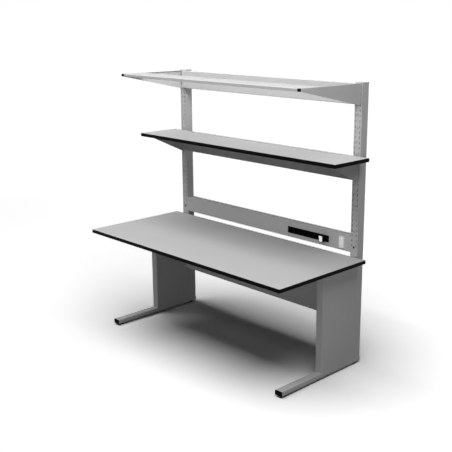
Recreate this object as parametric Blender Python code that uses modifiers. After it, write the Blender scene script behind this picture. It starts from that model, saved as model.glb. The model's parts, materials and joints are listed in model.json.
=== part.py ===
"""Anti-static work table: two C-shaped legs, a laminate worktop, two slotted uprights with a power
duct, a hook-in shelf and a hook-in top frame with a flat lamp.

Metres, +Z up, front towards -Y. The origin is on the floor under the middle of the table.
"""

import math
from collections import namedtuple

import bmesh
import bpy
from mathutils import Matrix, Vector

# Fits
FIT_GAP = 0.0003
RUNNING_GAP = 0.0006

# Worktop, and the shelf's equal width and board
TABLE_WIDTH = 1.800
TOP_DEPTH = 0.770
TOP_HEIGHT = 0.715
BOARD_THICK = 0.023
BAND_THICK = 0.002

# Uprights
LEG_INSET = 0.070
UPRIGHT_WIDTH = 0.055
UPRIGHT_DEPTH = 0.063
UPRIGHT_TOP = 1.785
REAR_GAP = 0.002
POST_WALL = 0.002
POST_BEND = 0.004
POST_CAP_THICK = 0.004
POST_CAP_PLUG = 0.015
RAIL_THICK = 0.0025

# Slots and holes in the uprights' front rails
SLOT_PITCH = 0.032
SLOT_COLUMNS = 0.032
SLOT_INSET = 0.037
SLOT_CLEAR = 0.0009
HOLE_PITCH = 0.080
HOLE_RISE = 0.099
HOLE_MARGIN = 0.020

# Sheet arms that carry the shelf and the top frame
ARM_SHEET = 0.0025
ARM_BEND = 0.003
ARM_FLANGE = 0.030
ARM_LEDGE = 0.022
ARM_LEDGE_SINK = 0.0005
RELIEF_WIDTH = 0.012
BEAM_HEIGHT = 0.124
BEAM_DEPTH = 0.018

# Hooks of the arms, which drop behind the rails
HOOK_NECK = 0.009
HOOK_DROP = 0.006
HOOK_THICK = 0.004
HOOK_COIN = 0.00015
HOOK_LIFT = 0.007
HOOK_STEP = 2

# Legs
LEG_DEPTH = 0.376
LEG_SHEET = 0.0015
LEG_BEND = 0.003
SHELL_RETURN = 0.020
COVER_RETURN = 0.015
FOOT_HEIGHT = 0.030
FOOT_BEND = 0.0015
FOOT_WALL = 0.0025
FOOT_SETBACK = 0.1015
CAP_THICK = 0.004
CAP_PLUG = 0.012
LEVEL_HEIGHT = 0.012
PAD_DIAMETER = 0.044
PAD_EDGE = 0.006
PAD_NECK = 0.020
PAD_SPACE = 0.024
STUD_DIAMETER = 0.010
STUD_HEADROOM = 0.0078

# Support arms under the worktop
SUPPORT_WIDTH = 0.045
SUPPORT_HEIGHT = 0.025
SUPPORT_WALL = 0.002
SUPPORT_SETBACK = 0.060

# Modesty panel between the legs
MODESTY_BOTTOM = 0.296
MODESTY_DROP = 0.012
MODESTY_SETBACK = 0.026
MODESTY_FLANGE = 0.020
PANEL_SHEET = 0.0012
PANEL_BEND = 0.0025

# Power duct between the uprights
DUCT_LIFT = 0.025
DUCT_HEIGHT = 0.104
DUCT_SHEET = 0.0015
DUCT_BEND = 0.003
COVER_THICK = 0.002
SURROUND_EDGE = 0.008
DUCT_SCREW_RISE = 0.036
SCREW_HEAD = 0.013
SCREW_HEAD_HEIGHT = 0.005
SCREW_SHANK = 0.006
SCREW_CLEAR = 0.0005
SCREW_LENGTH = 0.014

# Socket strip in the surround
STRIP_RISE = 0.028
STRIP_LIP = 0.0008
STRIP_FLANGE = 0.002
STRIP_WALL = 0.0012
STRIP_END = 0.006
STRIP_BODY = 0.030
SOCKET_COUNT = 6
SOCKET_BORE = 0.0372
SOCKET_EDGE = 0.0011
SOCKET_SIDE = 0.0041
SOCKET_DEPTH = 0.016
SOCKET_FLOOR = 0.003
PIN_DIAMETER = 0.005
PIN_SPACING = 0.019

# Master switch on the socket strip
SWITCH_SPACE = 0.0122
SWITCH_TAIL = 0.0184
SWITCH_BASE = 0.012
SWITCH_DEPTH = 0.032
SWITCH_WALL = 0.002
SWITCH_POCKET = 0.016
ROCKER_WIDTH = 0.0262
ROCKER_HEIGHT = 0.0360
ROCKER_FRONT = 0.006
ROCKER_BACK = 0.004
ROCKER_TILT = math.radians(6.0)
ROCKER_SINK = 0.0055
ROCKER_SIDE = 0.0004
ROCKER_END = 0.001
TRUNNION_DIAMETER = 0.0034
TRUNNION_LENGTH = 0.0012

# Earth bonding plate on the duct's cover
EARTH_INSET = 0.048
EARTH_SPACE = 0.086
EARTH_WIDTH = 0.038
EARTH_HEIGHT = 0.073
EARTH_THICK = 0.007
EARTH_RISE = 0.015
EARTH_CORNER = 0.003
STUD_PITCH = 0.034
POCKET_DEPTH = 0.003
POCKET_CLEAR = 0.001
SNAP_DIAMETER = 0.010
SNAP_NECK = 0.0084
SNAP_HEIGHT = 0.0046
SNAP_BASE = 0.014
SNAP_BASE_HEIGHT = 0.001

# Shelf
SHELF_DEPTH = 0.320
SHELF_BACK_GAP = 0.001
SHELF_SLOT = 14
SHELF_ARM_RISE = 0.024
SHELF_ARM_LENGTH = 0.275
SHELF_ARM_NOSE = 0.008
SHELF_ARM_HEIGHT = 0.135
SHELF_LEDGE_START = 0.010

# Top frame
FRAME_SLOT = 0
FRAME_ARM_RISE = 0.032
FRAME_ARM_LENGTH = 0.527
FRAME_ARM_NOSE = 0.016
FRAME_ARM_HEIGHT = 0.130
FRAME_LEDGE_DROP = 0.0155
FRAME_LEDGE_SPACE = 0.016
FRAME_RIM_SPACE = 0.030
RAIL_TUBE_DEPTH = 0.014
RAIL_TUBE_HEIGHT = 0.017
RAIL_TUBE_WALL = 0.0015
RAIL_TUBE_CORNER = 0.002
RAIL_CAP_LENGTH = 0.027
RAIL_CAP_PLUG = 0.020

# Lamp in the top frame
LAMP_DEPTH = 0.156
LAMP_HEIGHT = 0.0165
LAMP_SHEET = 0.0015
LAMP_BEND = 0.0025
LAMP_LIP = 0.010
DIFFUSER_THICK = 0.002

# Smoothness of round shapes
BEND_STEPS = 3
CORNER_STEPS = 4
ROUND_SIDES = 24
SMALL_SIDES = 12

# Places and sizes that follow from the ones above
DEPTH = TOP_DEPTH + REAR_GAP + UPRIGHT_DEPTH
FRONT_Y = -DEPTH / 2
REAR_Y = DEPTH / 2
RAIL_FRONT_Y = REAR_Y - UPRIGHT_DEPTH
RAIL_BACK_Y = RAIL_FRONT_Y + RAIL_THICK
TOP_UNDERSIDE = TOP_HEIGHT - BOARD_THICK
LEG_OUTER_X = TABLE_WIDTH / 2 - LEG_INSET
LEG_INNER_X = LEG_OUTER_X - UPRIGHT_WIDTH
LEG_MIDDLE_X = LEG_OUTER_X - UPRIGHT_WIDTH / 2
LEG_FRONT_Y = REAR_Y - LEG_DEPTH
FOOT_TOP = LEVEL_HEIGHT + FOOT_HEIGHT
FOOT_FRONT_Y = FRONT_Y + FOOT_SETBACK
PAD_INSET = CAP_THICK + CAP_PLUG + PAD_SPACE
STUD_TOP = FOOT_TOP - FOOT_WALL - STUD_HEADROOM

ARM_X = LEG_MIDDLE_X + SLOT_COLUMNS / 2
ARM_INNER_X = ARM_X - ARM_SHEET / 2
FLANGE_END_X = ARM_INNER_X - ARM_FLANGE
HOOK_SHEET = ARM_SHEET - 2 * HOOK_COIN
SLOT_WIDTH = HOOK_SHEET + 2 * SLOT_CLEAR
SLOT_HEIGHT = HOOK_NECK + HOOK_LIFT + 2 * FIT_GAP
HOLE_DIAMETER = SCREW_SHANK + 2 * SCREW_CLEAR
LAMP_BACK = RAIL_TUBE_DEPTH + FIT_GAP + LAMP_DEPTH

DUCT_BOTTOM = TOP_HEIGHT + DUCT_LIFT
DUCT_TOP = DUCT_BOTTOM + DUCT_HEIGHT
DUCT_SCREW_Z = DUCT_BOTTOM + DUCT_SCREW_RISE
COVER_BACK_Y = RAIL_FRONT_Y + COVER_THICK
EARTH_X = LEG_INNER_X - EARTH_INSET - EARTH_WIDTH / 2
EARTH_Z = DUCT_BOTTOM + EARTH_RISE + EARTH_HEIGHT / 2
POCKET_DIAMETER = SNAP_BASE + 2 * POCKET_CLEAR

SWITCH_WIDTH = ROCKER_WIDTH + 2 * (ROCKER_SIDE + SWITCH_WALL)
SWITCH_HEIGHT = ROCKER_HEIGHT + 2 * (ROCKER_END + SWITCH_WALL)
SOCKET_WIDTH = SOCKET_BORE + 2 * SOCKET_SIDE
SOCKET_HEIGHT = SOCKET_BORE + 2 * SOCKET_EDGE
SOCKET_PITCH = SOCKET_WIDTH + 2 * FIT_GAP
STRIP_HEIGHT = SOCKET_HEIGHT + 2 * (FIT_GAP + STRIP_WALL + STRIP_LIP)
STRIP_RIGHT = EARTH_X - EARTH_WIDTH / 2 - EARTH_SPACE
BASE_RIGHT = STRIP_RIGHT - STRIP_LIP - STRIP_END - FIT_GAP
SWITCH_X = BASE_RIGHT - SWITCH_TAIL - SWITCH_WIDTH / 2
BASE_LEFT = SWITCH_X - SWITCH_WIDTH / 2 - SWITCH_SPACE
FIRST_SOCKET_X = BASE_LEFT + SOCKET_WIDTH / 2 - SOCKET_COUNT * SOCKET_PITCH
STRIP_LEFT = FIRST_SOCKET_X - SOCKET_WIDTH / 2 - FIT_GAP - STRIP_END - STRIP_LIP
STRIP_Z = DUCT_BOTTOM + STRIP_RISE + STRIP_HEIGHT / 2
STRIP_FRONT_Y = RAIL_FRONT_Y - FIT_GAP - STRIP_FLANGE
STRIP_BACK_Y = COVER_BACK_Y + STRIP_BODY
SWITCH_BACK_Y = STRIP_FRONT_Y - FIT_GAP
SWITCH_FRONT_Y = SWITCH_BACK_Y - SWITCH_DEPTH
PIVOT_Y = SWITCH_FRONT_Y + ROCKER_SINK

SIDES = (("left", -1), ("right", 1))

Ledge = namedtuple("Ledge", "drop start end")
Arm = namedtuple("Arm", "slot rise length nose height ledges")
SHELF_LEDGE = Ledge(ARM_LEDGE_SINK, SHELF_LEDGE_START, SHELF_ARM_LENGTH - ARM_SHEET / 2)
SHELF_ARM = Arm(SHELF_SLOT, SHELF_ARM_RISE, SHELF_ARM_LENGTH, SHELF_ARM_NOSE, SHELF_ARM_HEIGHT, [SHELF_LEDGE])
LAMP_LEDGE = Ledge(FRAME_LEDGE_DROP, RAIL_TUBE_DEPTH + FRAME_LEDGE_SPACE, LAMP_BACK)
FRAME_RIM = Ledge(ARM_LEDGE_SINK, LAMP_BACK + FRAME_RIM_SPACE, FRAME_ARM_LENGTH - ARM_SHEET / 2)
FRAME_ARM = Arm(FRAME_SLOT, FRAME_ARM_RISE, FRAME_ARM_LENGTH, FRAME_ARM_NOSE, FRAME_ARM_HEIGHT,
                [LAMP_LEDGE, FRAME_RIM])

parts = bpy.data.collections.new("anti_static_work_table")
cutters = bpy.data.collections.new("cutters")


def clear_scene():
    """Empty the file and link the two collections."""
    for item in list(bpy.data.objects):
        bpy.data.objects.remove(item, do_unlink=True)
    for collection in (parts, cutters):
        bpy.context.scene.collection.children.link(collection)


def make_material(name, colour, roughness, metallic=0.0):
    """A Principled material of one colour."""
    material = bpy.data.materials.new(name)
    material.use_nodes = True
    shader = material.node_tree.nodes["Principled BSDF"]
    shader.inputs["Base Color"].default_value = (*colour, 1.0)
    shader.inputs["Roughness"].default_value = roughness
    shader.inputs["Metallic"].default_value = metallic
    material.diffuse_color = (*colour, 1.0)
    return material


def add_object(name, mesh, place, finish=None):
    """Link a mesh as a part with a finish, or as a hidden cutter without one."""
    item = bpy.data.objects.new(name, mesh)
    item.location = place
    if finish is None:
        cutters.objects.link(item)
        item.hide_render = True
        item.display_type = "WIRE"
    else:
        parts.objects.link(item)
        mesh.materials.append(finish)
    return item


def fill_mesh(name, build):
    """A mesh made by a function that works on an empty bmesh."""
    work = bmesh.new()
    build(work)
    bmesh.ops.recalc_face_normals(work, faces=work.faces)
    mesh = bpy.data.meshes.new(name)
    work.to_mesh(mesh)
    work.free()
    return mesh


def block(name, low, high, finish=None):
    """A box between two corners."""
    low = Vector(low)
    high = Vector(high)
    size = Matrix.Diagonal((*(high - low), 1.0))
    mesh = fill_mesh(name, lambda work: bmesh.ops.create_cube(work, size=1.0, matrix=size))
    return add_object(name, mesh, (low + high) / 2, finish)


def block_group(name, corners):
    """One cutter made of several separate boxes, each given by two corners."""

    def build(work):
        for low, high in corners:
            size = Vector(high) - Vector(low)
            place = Matrix.Translation((Vector(low) + Vector(high)) / 2)
            bmesh.ops.create_cube(work, size=1.0, matrix=place @ Matrix.Diagonal((*size, 1.0)))

    return add_object(name, fill_mesh(name, build), (0, 0, 0))


def rod_group(name, axis, middles, diameter, length, sides):
    """One cutter made of several equal rods along an axis, each given by its middle."""
    turn = {"x": Matrix.Rotation(math.pi / 2, 4, "Y"), "y": Matrix.Rotation(math.pi / 2, 4, "X"),
            "z": Matrix.Identity(4)}[axis]

    def build(work):
        for middle in middles:
            bmesh.ops.create_cone(work, cap_ends=True, segments=sides, radius1=diameter / 2,
                                  radius2=diameter / 2, depth=length,
                                  matrix=Matrix.Translation(middle) @ turn)

    return add_object(name, fill_mesh(name, build), (0, 0, 0))


def combine(item, other, operation):
    """Cut or join another object into an item."""
    modifier = item.modifiers.new(operation.lower(), "BOOLEAN")
    modifier.operation = operation
    modifier.object = other
    modifier.solver = "EXACT"


def shade_round(item):
    """Smooth shading with the true corners kept sharp."""
    item.data.shade_smooth()
    item.data.set_sharp_from_angle(angle=math.radians(35))


def prism(name, axis, outlines, start, end, finish=None, hub=None):
    """Extrude flat outlines along an axis: the first outline is solid and the others are holes.

    Outline points are (y, z) along x, (x, z) along y and (x, y) along z. The object's origin is in the
    middle of the first outline, or at the hub if one is given.
    """
    turn = {"x": (math.pi / 2, 0, math.pi / 2), "y": (math.pi / 2, 0, 0), "z": (0, 0, 0)}[axis]
    if hub is None:
        hub = [(min(values) + max(values)) / 2 for values in zip(*outlines[0])]
    middle = (start + end) / 2
    place = {"x": (middle, *hub), "y": (hub[0], middle, hub[1]), "z": (*hub, middle)}[axis]
    curve = bpy.data.curves.new(name, "CURVE")
    curve.dimensions = "2D"
    curve.fill_mode = "BOTH"
    curve.extrude = abs(end - start) / 2
    for outline in outlines:
        spline = curve.splines.new("POLY")
        spline.points.add(len(outline) - 1)
        for point, (right, up) in zip(spline.points, outline):
            point.co = (right - hub[0], up - hub[1], 0.0, 1.0)
        spline.use_cyclic_u = True
    drawn = bpy.data.objects.new(name, curve)
    bpy.context.scene.collection.objects.link(drawn)
    graph = bpy.context.evaluated_depsgraph_get()
    solid = bpy.data.meshes.new_from_object(drawn.evaluated_get(graph))
    bpy.data.objects.remove(drawn, do_unlink=True)

    def build(work):
        work.from_mesh(solid)
        bmesh.ops.remove_doubles(work, verts=work.verts, dist=1e-6)

    item = add_object(name, fill_mesh(name, build), place, finish)
    bpy.data.meshes.remove(solid)
    item.rotation_euler = turn
    return item


def rectangle(low, high):
    """Corners of a rectangle."""
    return [low, (high[0], low[1]), high, (low[0], high[1])]


def rounded(low, high, radius):
    """A rectangle with round corners."""
    hubs = rectangle((low[0] + radius, low[1] + radius), (high[0] - radius, high[1] - radius))
    points = []
    for quarter, (hub_right, hub_up) in enumerate(hubs):
        for step in range(CORNER_STEPS + 1):
            angle = (quarter + 2 + step / CORNER_STEPS) * math.pi / 2
            points.append((hub_right + radius * math.cos(angle), hub_up + radius * math.sin(angle)))
    return points


def folded(path, thick, bend):
    """Outline of a bent sheet whose middle line follows a path of square corners."""
    path = [Vector(point) for point in path]
    left = []
    right = []

    def lay(point, normal):
        left.append(point + normal * thick / 2)
        right.append(point - normal * thick / 2)

    def side(direction):
        return Vector((-direction.y, direction.x))

    lay(path[0], side((path[1] - path[0]).normalized()))
    for before, corner, after in zip(path, path[1:], path[2:]):
        ahead = (corner - before).normalized()
        onward = (after - corner).normalized()
        turn = math.copysign(1.0, ahead.x * onward.y - ahead.y * onward.x)
        hub = corner + (onward - ahead) * bend
        for step in range(BEND_STEPS + 1):
            angle = turn * step / BEND_STEPS * math.pi / 2
            spoke = Matrix.Rotation(angle, 2) @ (-turn * side(ahead))
            lay(hub + spoke * bend, -turn * spoke)
    lay(path[-1], side((path[-1] - path[-2]).normalized()))
    return [tuple(point) for point in left + right[::-1]]


def turned(name, profile, place, finish, sides):
    """A round piece from a profile of (radius, height) points, listed from top to bottom."""
    mesh = bpy.data.meshes.new(name)
    mesh.from_pydata([(radius, 0, height) for radius, height in profile],
                     [(index, index + 1) for index in range(len(profile) - 1)], [])
    item = add_object(name, mesh, place, finish)
    screw = item.modifiers.new("turn", "SCREW")
    screw.steps = sides
    screw.render_steps = sides
    screw.use_merge_vertices = True
    screw.merge_threshold = 1e-6
    screw.use_smooth_shade = False
    return item


def slot_z(index):
    """Height of the middle of a slot, counted from the top of the rail."""
    return UPRIGHT_TOP - SLOT_INSET - index * SLOT_PITCH


def across(side, inner, outer):
    """Low and high x of a piece that lies between two distances from the middle on one side."""
    return sorted((side * inner, side * outer))


def add_board(name, front, back, top, laminate, edging):
    """A laminate board as wide as the table, with an edge band around it."""
    underside = top - BOARD_THICK
    reach = TABLE_WIDTH / 2
    core = BAND_THICK + FIT_GAP
    block(f"{name}_board", (-reach + core, front + core, underside),
          (reach - core, back - core, top), laminate)
    outer = rectangle((-reach, front), (reach, back))
    inner = rectangle((-reach + BAND_THICK, front + BAND_THICK), (reach - BAND_THICK, back - BAND_THICK))
    prism(f"{name}_edge_band", "z", [outer, inner], underside, top, edging)


def add_foot(label, side, paint, plastic):
    """The floor tube of a leg, its two end caps and its two levelling feet."""
    low, high = across(side, LEG_INNER_X, LEG_OUTER_X)
    front = FOOT_FRONT_Y + CAP_THICK + FIT_GAP
    back = REAR_Y - CAP_THICK - FIT_GAP
    outer = rounded((low, LEVEL_HEIGHT), (high, FOOT_TOP), FOOT_BEND + FOOT_WALL)
    bore_low = (low + FOOT_WALL, LEVEL_HEIGHT + FOOT_WALL)
    bore_high = (high - FOOT_WALL, FOOT_TOP - FOOT_WALL)
    bore = rounded(bore_low, bore_high, FOOT_BEND)
    tube = prism(f"foot_tube_{label}", "y", [outer, bore], front, back, paint)
    ends = (("front", FOOT_FRONT_Y, 1), ("rear", REAR_Y, -1))
    middle = side * LEG_MIDDLE_X
    pads = []
    for end, edge, inward in ends:
        cap = prism(f"foot_cap_{end}_{label}", "y", [outer], edge, edge + inward * CAP_THICK, plastic)
        plug_low = (bore_low[0] + FIT_GAP, bore_low[1] + FIT_GAP)
        plug_high = (bore_high[0] - FIT_GAP, bore_high[1] - FIT_GAP)
        plug = prism(f"foot_plug_{end}_{label}", "y", [rounded(plug_low, plug_high, FOOT_BEND)],
                     edge + inward * CAP_THICK / 2, edge + inward * (CAP_THICK + CAP_PLUG))
        combine(cap, plug, "UNION")
        pads.append((middle, edge + inward * PAD_INSET))
    radius = STUD_DIAMETER / 2
    neck_top = LEVEL_HEIGHT - FIT_GAP
    for (end, _, _), (pad_x, pad_y) in zip(ends, pads):
        profile = [(0, STUD_TOP), (radius, STUD_TOP), (radius, neck_top),
                   (PAD_NECK / 2, neck_top), (PAD_DIAMETER / 2, PAD_EDGE), (PAD_DIAMETER / 2, 0), (0, 0)]
        pad = turned(f"levelling_foot_{end}_{label}", profile, (pad_x, pad_y, 0), plastic, ROUND_SIDES)
        shade_round(pad)
    holes = rod_group(f"stud_holes_{label}", "z", [(x, y, LEVEL_HEIGHT + FOOT_WALL / 2) for x, y in pads],
                      STUD_DIAMETER + 2 * RUNNING_GAP, 2 * FOOT_WALL, ROUND_SIDES)
    combine(tube, holes, "DIFFERENCE")


def add_leg(label, side, paint):
    """The column of a leg: a bent shell, an inner cover and the arm that carries the worktop."""
    low = FOOT_TOP + FIT_GAP
    support_low = TOP_UNDERSIDE - FIT_GAP - SUPPORT_HEIGHT
    high = support_low - FIT_GAP
    back = RAIL_FRONT_Y - FIT_GAP
    half = LEG_SHEET / 2
    outer = side * (LEG_OUTER_X - half)
    inner = side * (LEG_INNER_X + half)
    front = LEG_FRONT_Y + half
    return_end = LEG_FRONT_Y + SHELL_RETURN
    shell = folded([(outer, back), (outer, front), (inner, front), (inner, return_end)], LEG_SHEET, LEG_BEND)
    shade_round(prism(f"leg_shell_{label}", "z", [shell], low, high, paint))
    cover_back = back - half
    cover = folded([(inner, return_end + FIT_GAP), (inner, cover_back),
                    (inner + side * COVER_RETURN, cover_back)], LEG_SHEET, LEG_BEND)
    shade_round(prism(f"leg_inner_cover_{label}", "z", [cover], low, high, paint))
    left = side * LEG_MIDDLE_X - SUPPORT_WIDTH / 2
    right = side * LEG_MIDDLE_X + SUPPORT_WIDTH / 2
    outline = rectangle((left, support_low), (right, support_low + SUPPORT_HEIGHT))
    bore = rectangle((left + SUPPORT_WALL, support_low + SUPPORT_WALL),
                     (right - SUPPORT_WALL, support_low + SUPPORT_HEIGHT - SUPPORT_WALL))
    prism(f"support_arm_{label}", "y", [outline, bore], FRONT_Y + SUPPORT_SETBACK, back, paint)


def add_upright(label, side, paint, grey):
    """A rear post bent from sheet, its slotted front rail and its top cap.

    Slots run down from the rail's top as far as the duct's screw, and round holes up from that screw.
    """
    low = FOOT_TOP + FIT_GAP
    post_top = UPRIGHT_TOP - POST_CAP_THICK - FIT_GAP
    half = POST_WALL / 2
    front = RAIL_BACK_Y + FIT_GAP
    inner = side * (LEG_INNER_X + half)
    outer = side * (LEG_OUTER_X - half)
    post = folded([(inner, front), (inner, REAR_Y - half), (outer, REAR_Y - half), (outer, front)],
                  POST_WALL, POST_BEND)
    shade_round(prism(f"upright_post_{label}", "z", [post], low, post_top, paint))

    left, right = across(side, LEG_INNER_X, LEG_OUTER_X)
    cap = block(f"upright_cap_{label}", (left, front, post_top + FIT_GAP), (right, REAR_Y, UPRIGHT_TOP), grey)
    inset = POST_WALL + POST_BEND
    plug = block(f"upright_plug_{label}", (left + inset, front + inset, post_top - POST_CAP_PLUG),
                 (right - inset, REAR_Y - POST_WALL - FIT_GAP, UPRIGHT_TOP - POST_CAP_THICK / 2))
    combine(cap, plug, "UNION")

    rail = block(f"slot_rail_{label}", (left, RAIL_FRONT_Y, low), (right, RAIL_BACK_Y, UPRIGHT_TOP), paint)
    middle = side * LEG_MIDDLE_X
    slots = []
    slot_count = int((slot_z(0) - DUCT_SCREW_Z) / SLOT_PITCH) + 1
    for column in (-SLOT_COLUMNS / 2, SLOT_COLUMNS / 2):
        for index in range(slot_count):
            corner = Vector((middle + column, RAIL_FRONT_Y + RAIL_THICK / 2, slot_z(index)))
            reach = Vector((SLOT_WIDTH / 2, RAIL_THICK, SLOT_HEIGHT / 2))
            slots.append((corner - reach, corner + reach))
    combine(rail, block_group(f"slots_{label}", slots), "DIFFERENCE")
    rail_middle = RAIL_FRONT_Y + RAIL_THICK / 2
    lowest = DUCT_SCREW_Z + HOLE_RISE
    hole_count = int((UPRIGHT_TOP - HOLE_MARGIN - lowest) / HOLE_PITCH) + 1
    levels = [DUCT_SCREW_Z] + [lowest + index * HOLE_PITCH for index in range(hole_count)]
    holes = [(middle, rail_middle, level) for level in levels]
    combine(rail, rod_group(f"holes_{label}", "y", holes, HOLE_DIAMETER, 2 * RAIL_THICK, SMALL_SIDES),
            "DIFFERENCE")


def add_modesty_panel(paint):
    """The bent panel that ties the legs together under the worktop."""
    half = PANEL_SHEET / 2
    front = RAIL_FRONT_Y - MODESTY_SETBACK + half
    back = front - half + MODESTY_FLANGE
    low = MODESTY_BOTTOM + half
    high = TOP_UNDERSIDE - MODESTY_DROP - half
    outline = folded([(back, low), (front, low), (front, high), (back, high)], PANEL_SHEET, PANEL_BEND)
    reach = LEG_INNER_X - FIT_GAP
    shade_round(prism("modesty_panel", "x", [outline], -reach, reach, paint))


def add_power_duct(paint, steel):
    """The bent duct between the uprights, its two covers, the sockets' surround and the screw at each end."""
    half = DUCT_SHEET / 2
    front = COVER_BACK_Y + FIT_GAP
    back = REAR_Y - half
    low = DUCT_BOTTOM + half
    high = DUCT_TOP - half
    outline = folded([(front, high), (back, high), (back, low), (front, low)], DUCT_SHEET, DUCT_BEND)
    reach = LEG_INNER_X - FIT_GAP
    shade_round(prism("power_duct", "x", [outline], -reach, reach, paint))

    surround_left = STRIP_LEFT - SURROUND_EDGE
    surround_right = STRIP_RIGHT + SURROUND_EDGE
    outer = rectangle((surround_left, DUCT_BOTTOM), (surround_right, DUCT_TOP))
    room = STRIP_LIP - FIT_GAP
    tall = STRIP_HEIGHT / 2 - room
    window = rectangle((STRIP_LEFT + room, STRIP_Z - tall), (STRIP_RIGHT - room, STRIP_Z + tall))
    prism("socket_surround", "y", [outer, window], RAIL_FRONT_Y, COVER_BACK_Y, paint)
    block("power_cover_left", (-reach, RAIL_FRONT_Y, DUCT_BOTTOM),
          (surround_left - FIT_GAP, COVER_BACK_Y, DUCT_TOP), paint)
    block("power_cover_right", (surround_right + FIT_GAP, RAIL_FRONT_Y, DUCT_BOTTOM),
          (reach, COVER_BACK_Y, DUCT_TOP), paint)

    for label, side in SIDES:
        head = SCREW_HEAD / 2
        shank = SCREW_SHANK / 2
        profile = [(0, SCREW_HEAD_HEIGHT), (head, SCREW_HEAD_HEIGHT), (head, 0), (shank, 0),
                   (shank, -SCREW_LENGTH), (0, -SCREW_LENGTH)]
        place = (side * LEG_MIDDLE_X, RAIL_FRONT_Y - FIT_GAP, DUCT_SCREW_Z)
        screw = turned(f"duct_screw_{label}", profile, place, steel, SMALL_SIDES)
        screw.rotation_euler = (math.pi / 2, 0, 0)


def add_socket_strip(plastic):
    """The socket strip in its surround: a tray that is open in front, with a row of round sockets."""
    tall = STRIP_HEIGHT / 2
    strip = block("socket_strip", (STRIP_LEFT, STRIP_FRONT_Y, STRIP_Z - tall),
                  (STRIP_RIGHT, STRIP_FRONT_Y + STRIP_FLANGE, STRIP_Z + tall), plastic)
    tall -= STRIP_LIP
    body = block("strip_body", (STRIP_LEFT + STRIP_LIP, STRIP_FRONT_Y + STRIP_FLANGE / 2, STRIP_Z - tall),
                 (STRIP_RIGHT - STRIP_LIP, STRIP_BACK_Y, STRIP_Z + tall))
    combine(strip, body, "UNION")
    tall -= STRIP_WALL
    ends = STRIP_LIP + STRIP_END
    room = block("strip_room", (STRIP_LEFT + ends, STRIP_FRONT_Y - STRIP_FLANGE, STRIP_Z - tall),
                 (STRIP_RIGHT - ends, STRIP_BACK_Y - STRIP_WALL, STRIP_Z + tall))
    combine(strip, room, "DIFFERENCE")

    wide = SOCKET_WIDTH / 2
    tall = SOCKET_HEIGHT / 2
    back = STRIP_FRONT_Y + SOCKET_DEPTH + SOCKET_FLOOR
    for index in range(SOCKET_COUNT):
        x = FIRST_SOCKET_X + index * SOCKET_PITCH
        socket = block(f"socket_{index + 1}", (x - wide, STRIP_FRONT_Y, STRIP_Z - tall),
                       (x + wide, back, STRIP_Z + tall), plastic)
        combine(socket, rod_group(f"socket_bore_{index + 1}", "y", [(x, STRIP_FRONT_Y, STRIP_Z)], SOCKET_BORE,
                                  2 * SOCKET_DEPTH, ROUND_SIDES), "DIFFERENCE")
        pins = [(x + offset, back, STRIP_Z) for offset in (-PIN_SPACING / 2, PIN_SPACING / 2)]
        combine(socket, rod_group(f"pin_holes_{index + 1}", "y", pins, PIN_DIAMETER, 4 * SOCKET_FLOOR,
                                  SMALL_SIDES), "DIFFERENCE")


def add_switch(plastic, white):
    """The master switch: a housing on a base in the strip, and a rocker that tips on two trunnions."""
    half_width = SWITCH_WIDTH / 2
    half_height = SWITCH_HEIGHT / 2
    housing = block("switch_housing", (SWITCH_X - half_width, SWITCH_FRONT_Y, STRIP_Z - half_height),
                    (SWITCH_X + half_width, SWITCH_BACK_Y, STRIP_Z + half_height), plastic)
    tall = SOCKET_HEIGHT / 2
    base = block("switch_base", (BASE_LEFT, STRIP_FRONT_Y, STRIP_Z - tall),
                 (BASE_RIGHT, STRIP_FRONT_Y + SWITCH_BASE, STRIP_Z + tall))
    root_width = half_width - SWITCH_WALL
    root_height = tall - SWITCH_WALL
    root = block("switch_root", (SWITCH_X - root_width, SWITCH_BACK_Y - SWITCH_WALL, STRIP_Z - root_height),
                 (SWITCH_X + root_width, STRIP_FRONT_Y + SWITCH_BASE / 2, STRIP_Z + root_height))
    combine(housing, root, "UNION")
    combine(housing, base, "UNION")
    pocket = block("switch_pocket", (SWITCH_X - half_width + SWITCH_WALL, SWITCH_FRONT_Y - SWITCH_WALL,
                                     STRIP_Z - half_height + SWITCH_WALL),
                   (SWITCH_X + half_width - SWITCH_WALL, SWITCH_FRONT_Y + SWITCH_POCKET,
                    STRIP_Z + half_height - SWITCH_WALL))
    combine(housing, pocket, "DIFFERENCE")
    pivot = (SWITCH_X, PIVOT_Y, STRIP_Z)
    axle = ROCKER_WIDTH + 2 * TRUNNION_LENGTH
    combine(housing, rod_group("trunnion_holes", "x", [pivot], TRUNNION_DIAMETER + 2 * FIT_GAP,
                               axle + 2 * FIT_GAP, SMALL_SIDES), "DIFFERENCE")

    tall = ROCKER_HEIGHT / 2
    valley = ROCKER_FRONT - tall * math.tan(ROCKER_TILT)
    flat = [(-ROCKER_FRONT, tall), (-valley, 0), (-ROCKER_FRONT, -tall), (0, -tall),
            (ROCKER_BACK, -tall / 2), (ROCKER_BACK, tall / 2), (0, tall)]
    lean = Matrix.Rotation(ROCKER_TILT, 2)
    centre = Vector((PIVOT_Y, STRIP_Z))
    outline = [tuple(centre + lean @ Vector(point)) for point in flat]
    reach = ROCKER_WIDTH / 2
    rocker = prism("switch_rocker", "x", [outline], SWITCH_X - reach, SWITCH_X + reach, white, tuple(centre))
    combine(rocker, rod_group("trunnions", "x", [pivot], TRUNNION_DIAMETER, axle, SMALL_SIDES), "UNION")


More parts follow.
